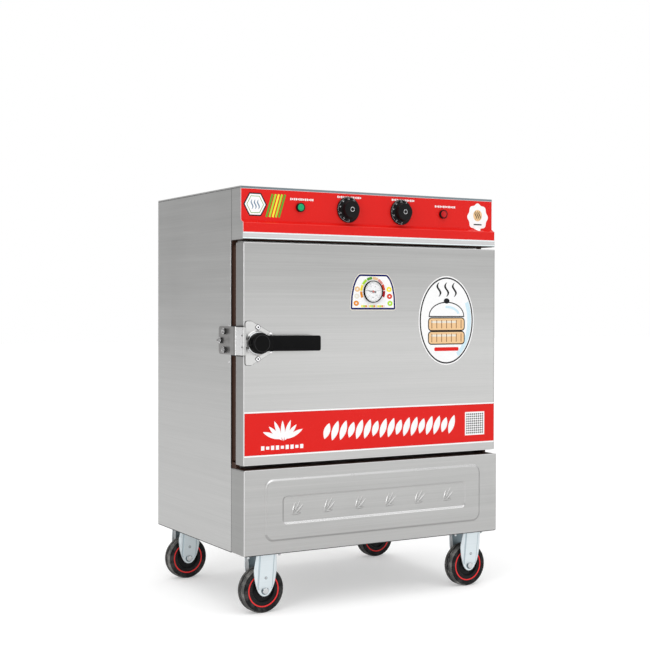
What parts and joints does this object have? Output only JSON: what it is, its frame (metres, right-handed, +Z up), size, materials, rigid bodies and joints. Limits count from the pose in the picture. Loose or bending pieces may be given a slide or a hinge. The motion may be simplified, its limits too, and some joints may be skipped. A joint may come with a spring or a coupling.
{
  "type": "rice steamer cabinet",
  "caption": "Upright stainless rice steamer cabinet on fixed casters, with an insulated hinged door, lever latch, dial thermometer, control fascia, tray racks and a heated water tank.",
  "frame": {"origin": "centre of the whole object's footprint, on the floor", "axes": "+Z up, the door and the control fascia face -Y, +X to the right seen from the front"},
  "size_m": [0.7259, 0.5644, 0.964],
  "materials": {
    "panel_steel": "stainless sheet with a fine horizontal grain",
    "liner_steel": "plain bright stainless sheet",
    "latch_steel": "polished stainless fittings",
    "insulation": "light insulation board",
    "red_film": "printed red film, satin gloss",
    "black_plastic": "black moulded plastic with a soft sheen",
    "green_lens": "clear green lens",
    "red_lens": "clear red lens",
    "gasket_rubber": "dark brown door seal",
    "dial_glass": "clear dial glass",
    "needle_paint": "matt black needle",
    "brass": "plain turned brass",
    "lever_paint": "red dipped lever",
    "float_plastic": "white float",
    "zinc_plate": "bright zinc plated pressing",
    "wheel_plastic": "black wheel centre",
    "tyre_rubber": "black tyre with a red ring and a scuffed tread"
  },
  "bodies": {
    "cabinet": {"side_panel_left": "panel_steel", "side_panel_right": "panel_steel", "back_panel": "panel_steel", "top_panel": "panel_steel", "base_plate": "panel_steel", "front_frame": "panel_steel", "chamber_wall_left": "liner_steel", "chamber_wall_right": "liner_steel", "chamber_wall_back": "liner_steel", "chamber_ceiling": "liner_steel", "insulation_jacket": "insulation", "water_tank": "liner_steel", "tank_grid": "liner_steel", "tray_rack_left": "liner_steel", "tray_rack_right": "liner_steel", "heating_element": "liner_steel", "float_valve_body": "brass", "fascia_panel": "panel_steel", "fascia_overlay": "red_film", "lamp_heating_bezel": "black_plastic", "lamp_heating_lens": "green_lens", "lamp_power_bezel": "black_plastic", "lamp_power_lens": "red_lens", "thermostat_body": "black_plastic", "timer_body": "black_plastic", "base_front_panel": "panel_steel", "latch_keeper": "latch_steel", "drain_valve_body": "brass", "cable_gland": "black_plastic", "steam_vent": "liner_steel", "hinge_upper_frame_leaf": "latch_steel", "hinge_lower_frame_leaf": "latch_steel", "caster_fork_front_left": "zinc_plate", "caster_fork_front_right": "zinc_plate", "caster_fork_rear_left": "zinc_plate", "caster_fork_rear_right": "zinc_plate"},
    "door": {"door_skin": "panel_steel", "door_insulation": "insulation", "door_liner": "liner_steel", "door_gasket": "gasket_rubber", "latch_plate": "latch_steel", "thermometer_case": "black_plastic", "thermometer_glass": "dial_glass", "hinge_upper_door_leaf": "latch_steel", "hinge_lower_door_leaf": "latch_steel"},
    "latch": {"latch_handle": "black_plastic", "latch_cam": "latch_steel"},
    "thermostat_knob": {"knob_thermostat": "black_plastic"},
    "timer_knob": {"knob_timer": "black_plastic"},
    "needle": {"thermometer_needle": "needle_paint"},
    "drain_lever": {"drain_valve_lever": "lever_paint"},
    "float": {"float_arm": "float_plastic"},
    "wheel_front_left": {"wheel_core_front_left": "wheel_plastic", "tyre_front_left": "tyre_rubber"},
    "wheel_front_right": {"wheel_core_front_right": "wheel_plastic", "tyre_front_right": "tyre_rubber"},
    "wheel_rear_left": {"wheel_core_rear_left": "wheel_plastic", "tyre_rear_left": "tyre_rubber"},
    "wheel_rear_right": {"wheel_core_rear_right": "wheel_plastic", "tyre_rear_right": "tyre_rubber"}
  },
  "joints": [
    {"name": "door_hinge", "type": "hinge", "parent": "cabinet", "child": "door", "pos_m": [0.357, -0.2038, 0.589], "axis": [0, 0, 1], "range_deg": [0, 170]},
    {"name": "latch_turn", "type": "hinge", "parent": "door", "child": "latch", "pos_m": [-0.3175, -0.26305, 0.6132], "axis": [0, -1, 0], "range_deg": [0, 90]},
    {"name": "thermostat_turn", "type": "hinge", "parent": "cabinet", "child": "thermostat_knob", "pos_m": [-0.071, -0.23635, 0.921], "axis": [0, 1, 0], "range_deg": [0, 270]},
    {"name": "timer_turn", "type": "hinge", "parent": "cabinet", "child": "timer_knob", "pos_m": [0.0765, -0.23635, 0.921], "axis": [0, 1, 0], "range_deg": [0, 300]},
    {"name": "needle_turn", "type": "hinge", "parent": "door", "child": "needle", "pos_m": [-0.0125, -0.25565, 0.7305], "axis": [0, 1, 0], "range_deg": [-50, 215]},
    {"name": "drain_turn", "type": "hinge", "parent": "cabinet", "child": "drain_lever", "pos_m": [0.24, 0.25925, 0.2013], "axis": [0, 0, 1], "range_deg": [0, 90]},
    {"name": "float_swing", "type": "hinge", "parent": "cabinet", "child": "float", "pos_m": [-0.2, 0.17345, 0.284], "axis": [-1, 0, 0], "range_deg": [0, 25]},
    {"name": "wheel_spin_front_left", "type": "hinge", "parent": "cabinet", "child": "wheel_front_left", "pos_m": [-0.286, -0.21325, 0.05267], "axis": [0, 1, 0], "continuous": true},
    {"name": "wheel_spin_front_right", "type": "hinge", "parent": "cabinet", "child": "wheel_front_right", "pos_m": [0.286, -0.21325, 0.05267], "axis": [0, 1, 0], "continuous": true},
    {"name": "wheel_spin_rear_left", "type": "hinge", "parent": "cabinet", "child": "wheel_rear_left", "pos_m": [-0.286, 0.20875, 0.05267], "axis": [0, 1, 0], "continuous": true},
    {"name": "wheel_spin_rear_right", "type": "hinge", "parent": "cabinet", "child": "wheel_rear_right", "pos_m": [0.286, 0.20875, 0.05267], "axis": [0, 1, 0], "continuous": true}
  ]
}
